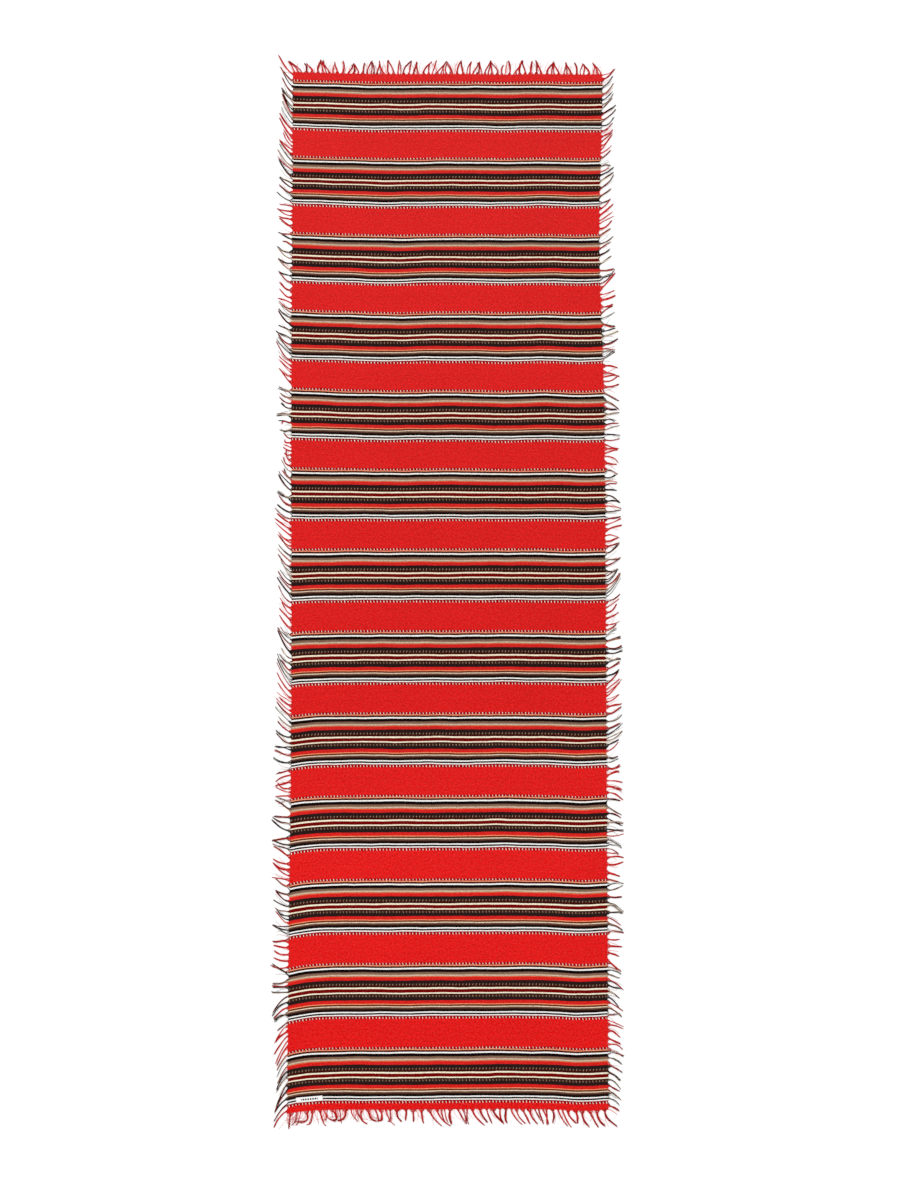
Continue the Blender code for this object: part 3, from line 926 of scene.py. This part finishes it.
def sew_label():
    """The label: a ribbon whose two short ends are turned under, so they are thicker, and whose edges thin out.
    Its upper height is a base, plus the turned ends as ease(), less the 8th power of the distance across and the
    60th of that along, plus a slow wave."""
    label = bpy.context.scene.runner_label
    low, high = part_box("label")
    middle = (low + high) / 2 - Vector((0, label.drop, 0))
    rows, columns = 15, 77
    v, u = np.meshgrid(np.linspace(-1, 1, rows), np.linspace(-1, 1, columns), indexing="ij")
    along, across = u * label.length / 2, v * label.width / 2
    turned = ease((np.abs(along) - (label.length / 2 - 4 * MM)) / (1 * MM))
    rise = MM * (0.36 + 0.20 * turned - 0.14 * np.abs(v) ** 8 - 0.12 * np.abs(u) ** 60)
    rise += MM * 0.05 * np.sin(u * 9 + v * 2) * (1 - turned)
    across = across * (1 + 0.012 * np.sin(u * 7)) + 0.06 * MM * np.sin(u * 31)
    ca, sa = math.cos(label.tilt), math.sin(label.tilt)

    def sewn(along, across):
        """A point of the label, tilted and in its place."""
        return middle.x + along * ca - across * sa, middle.y + along * sa + across * ca

    x, y = sewn(along, across)
    base = np.full(u.shape, low.z - 0.1 * MM)
    weave = np.stack([along, across], axis=-1)
    piece = closed_sheet(
        "satin_label", np.stack([x, y, base + rise], axis=-1), np.stack([x, y, base], axis=-1), label_satin(),
        {"Weave": weave, "OFBake": np.stack([0.01 + 0.49 * (u + 1), 0.01 + 0.49 * (v + 1)], axis=-1)},
    )
    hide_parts("label")
    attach(piece, "label_end")
    thread = sewing_thread()
    for name, side in SIDES.items():
        # Five stitches over each short edge: from the label over its edge and down into the cloth, in a low arch.
        t = np.linspace(-1, 1, 7)
        across = (np.linspace(-0.8, 0.8, 5) * label.width / 2)[:, None] + 0.25 * MM * t
        along = side * (label.length / 2 + 0.9 * MM * t)
        height = base[0, 0] + MM * (0.62 - 0.45 * t**2)
        points = np.stack(np.broadcast_arrays(*sewn(along, across), height), axis=-1)
        half = np.full(points.shape[:2], 0.12 * MM)
        colours = np.full((*points.shape[:2], 3), 0.8)
        stitches = carry_profile(f"stitches_{name}", points, half, half, 6, thread, colours)
        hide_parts(f"label_stitches_{name}")
        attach(stitches, "label_end")


# ---- operators and panel


class RUNNER_OT_lay_studio(bpy.types.Operator):
    """Lay the pale floor and set up the soft light and the camera"""

    bl_idname = "runner.lay_studio"
    bl_label = "Lay the studio"

    def execute(self, context):
        lay_studio()
        return {"FINISHED"}


class RUNNER_OT_sew_label(bpy.types.Operator):
    """Sew the satin label near the left corner of the label end"""

    bl_idname = "runner.sew_label"
    bl_label = "Sew the label"

    def execute(self, context):
        sew_label()
        return {"FINISHED"}


class RUNNER_OT_raise_ticks(bpy.types.Operator):
    """Raise the ticks of the dotted rows"""

    bl_idname = "runner.raise_ticks"
    bl_label = "Raise the ticks"

    def execute(self, context):
        raise_ticks()
        return {"FINISHED"}


class RUNNER_OT_fray_sides(bpy.types.Operator):
    """Fray the two long sides into tufts of crosswise yarn"""

    bl_idname = "runner.fray_sides"
    bl_label = "Fray the sides"

    def execute(self, context):
        fray_sides()
        return {"FINISHED"}


class RUNNER_OT_fray_ends(bpy.types.Operator):
    """Fray the two short ends into tufts of red warp"""

    bl_idname = "runner.fray_ends"
    bl_label = "Fray the ends"

    def execute(self, context):
        fray_ends()
        return {"FINISHED"}


class RUNNER_OT_weave_cloth(bpy.types.Operator):
    """Weave the striped cloth in three sheets"""

    bl_idname = "runner.weave_cloth"
    bl_label = "Weave the cloth"

    def execute(self, context):
        weave_cloth()
        return {"FINISHED"}


SETTINGS = {
    "runner_dyes": RunnerDyes, "runner_cloth": RunnerCloth, "runner_fringe": RunnerFringe,
    "runner_label": RunnerLabel, "runner_studio": RunnerStudio,
}
OPERATORS = (
    RUNNER_OT_lay_studio, RUNNER_OT_sew_label, RUNNER_OT_raise_ticks, RUNNER_OT_fray_sides, RUNNER_OT_fray_ends,
    RUNNER_OT_weave_cloth,
)


class RUNNER_PT_panel(bpy.types.Panel):
    """Lists the runner's operators and settings"""

    bl_label = "Table runner"
    bl_idname = "RUNNER_PT_panel"
    bl_space_type = "VIEW_3D"
    bl_region_type = "UI"
    bl_category = "Runner"

    def draw(self, context):
        for operator in OPERATORS:
            self.layout.operator(operator.bl_idname)
        for key, group in SETTINGS.items():
            box = self.layout.box()
            box.label(text=group.__doc__)
            for name in group.__annotations__:
                box.prop(getattr(context.scene, key), name)


def register():
    for kind in (*SETTINGS.values(), *OPERATORS, RUNNER_PT_panel):
        bpy.utils.register_class(kind)
    for key, group in SETTINGS.items():
        setattr(bpy.types.Scene, key, PointerProperty(type=group))


def unregister():
    for key in SETTINGS:
        delattr(bpy.types.Scene, key)
    for kind in reversed((*SETTINGS.values(), *OPERATORS, RUNNER_PT_panel)):
        bpy.utils.unregister_class(kind)


def main():
    register()
    for operator in OPERATORS:
        family, name = operator.bl_idname.split(".")
        getattr(getattr(bpy.ops, family), name)()


if __name__ == "__main__":
    main()
